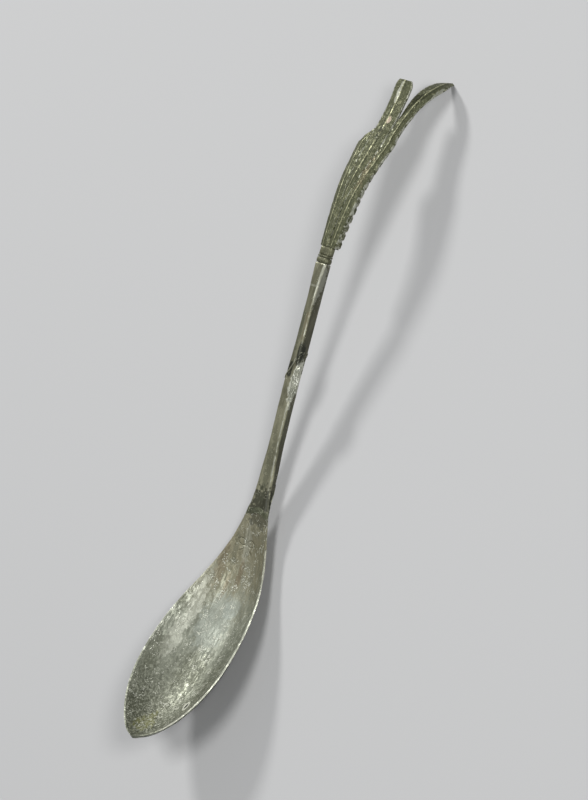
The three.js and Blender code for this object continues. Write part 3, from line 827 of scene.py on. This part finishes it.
def dress(node, name, finish, levels, dents, dent_size):
    """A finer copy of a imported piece, which stands for it."""
    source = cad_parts[node]
    piece = source.copy()
    piece.data = source.data.copy()
    piece.name = name
    piece.parent = None
    bpy.context.collection.objects.link(piece)
    piece.data.materials.clear()
    piece.data.materials.append(finish)
    merge_triangles(piece)
    crease_sharp_edges(piece)
    rounding = piece.modifiers.new("rounding", "SUBSURF")
    rounding.levels = levels
    rounding.render_levels = levels
    add_dents(piece, name + "_dents", dent_size, dents)
    apply_modifiers(piece, PIECE_SMOOTH)
    mark_slices(piece)
    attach(piece, "root")
    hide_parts(node)
    print(name, len(piece.data.polygons), "faces")


# %% [markdown]
# The pieces whose broad curves show are subdivided twice. The rings and the long right leaf are finely cut
# already, and the two films of solder are small. Large plain pieces get wider dents than small ones.

# %% Pieces
# Each row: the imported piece, its finer copy, the finish, subdivision levels, dents and their size in mm.
PIECES = [
    ("bowl", "bowl_shell", silver_bowl, 2, 0.2, 5),
    ("neck_solder", "neck_solder_band", silver_neck, 1, 0.04, 1),
    ("shank_lower", "shank_lower_bar", silver_shank, 2, 0.1, 3),
    ("mend_solder", "mend_solder_film", silver_shank, 1, 0.03, 0.6),
    ("shank_upper", "shank_upper_bar", silver_shank, 2, 0.1, 3),
    ("ring_lower", "collar_bead", silver_collar, 1, 0.05, 1),
    ("ring_upper", "collar_wire", silver_collar, 1, 0.03, 1),
    ("ferrule", "collar_band", silver_collar, 2, 0.04, 1),
    ("leaf_left", "leaf_left_blade", green_leaf, 2, 0.1, 2),
    ("leaf_centre", "leaf_centre_blade", green_leaf, 2, 0.1, 2),
    ("leaf_right", "leaf_right_blade", green_leaf, 1, 0.1, 2),
]
for row in PIECES:
    dress(*row)

# %% [markdown]
# ## The solder of the mend
# Where the shank was mended, a rough lump of pale solder spreads over the splice. It could be a bump in the
# material, but it stands proud in the outline, so it is a low dome, pressed on the bar and broken up by two
# Displace modifiers.

# %% Mend lump
MEND_PIXEL = (294, 384)
MEND_HALF = (5.2, 1.35, 0.42)
LUMP_FORM = (1.8, 0.5)
LUMP_GRAIN = (0.35, 0.28)
LUMP_SMOOTH = math.radians(60)
SHANK_RISE = math.radians(10)
bpy.ops.object.select_all(action="DESELECT")
bpy.ops.mesh.primitive_uv_sphere_add(segments=96, ring_count=48, radius=1.0, location=(0, 0, 0))
lump = bpy.context.object
lump.name = "mend_solder_lump"
seat = on_piece("shank_lower", *MEND_PIXEL)
flatten = Matrix.Diagonal([half * MM for half in MEND_HALF] + [1.0])
lump.data.transform(Matrix.Translation(seat) @ Matrix.Rotation(-SHANK_RISE, 4, "Y") @ flatten)
add_dents(lump, "lump_form", *LUMP_FORM)
add_dents(lump, "lump_grain", *LUMP_GRAIN)
apply_modifiers(lump, LUMP_SMOOTH)
lump.data.materials.append(solder_pale)
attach(lump, "root")
print("solder lump seated at", [round(v / MM, 1) for v in seat], "mm")

# %% [markdown]
# ## Floor
# A plain pale floor takes the shadow. It is matt, and so large that its edge stays out of view.

# %% Floor
FLOOR_SIZE = 4.0
FLOOR_CENTRE = (0.05, 0, 0)
FLOOR_TONE = srgb(186, 186, 186)
FLOOR_ROUGHNESS = 0.9
bpy.ops.mesh.primitive_plane_add(size=FLOOR_SIZE, location=FLOOR_CENTRE)
floor = bpy.context.object
floor.name = "floor"
floor_material = bpy.data.materials.new("pale_floor")
floor_material.use_nodes = True
floor_shader = floor_material.node_tree.nodes["Principled BSDF"]
floor_shader.inputs["Base Color"].default_value = FLOOR_TONE
floor_shader.inputs["Roughness"].default_value = FLOOR_ROUGHNESS
floor.data.materials.append(floor_material)
print("floor", FLOOR_SIZE, "m wide")

# %% [markdown]
# ## Light
# The main lamp stands on the spoon's left, so the faces on its right fall dark as in the photograph. A
# broad lamp overhead lights the bowl, and one near the camera gives the silver on the bowl's left wall its
# sheen. The first two are weak in reflections, or they would turn parts of the silver white. A dim even
# world fills the rest.

# %% Lamps and world
LIT_MIDDLE = Vector((0.05, 0.0, 0.01))
WORLD_COLOUR = (0.9, 0.95, 1.0, 1.0)
WORLD_STRENGTH = 0.16


def lamp(name, place, size, power, gloss=1.0, matt=1.0):
    """A round soft lamp, with its shares in the glossy and the matt light."""
    data = bpy.data.lights.new(name, "AREA")
    data.shape = "DISK"
    data.size = size
    data.energy = power
    data.specular_factor = gloss
    data.diffuse_factor = matt
    light = bpy.data.objects.new(name, data)
    bpy.context.collection.objects.link(light)
    light.location = place
    light.rotation_euler = (LIT_MIDDLE - Vector(place)).to_track_quat("-Z", "Y").to_euler()
    print(name, "lamp:", power, "W")


lamp("key", (0.62, 0.8, 0.7), 0.2, 8.5, gloss=0.4)
lamp("overhead", (0.0, -0.12, 1.15), 0.45, 6.0, gloss=0.25)
lamp("sheen", (0.16, -0.88, 0.82), 0.3, 5.5, matt=0.45)
world = bpy.context.scene.world or bpy.data.worlds.new("world")
bpy.context.scene.world = world
world.use_nodes = True
background = world.node_tree.nodes["Background"].inputs
background["Color"].default_value = WORLD_COLOUR
background["Strength"].default_value = WORLD_STRENGTH
bpy.context.scene.view_settings.view_transform = "Standard"
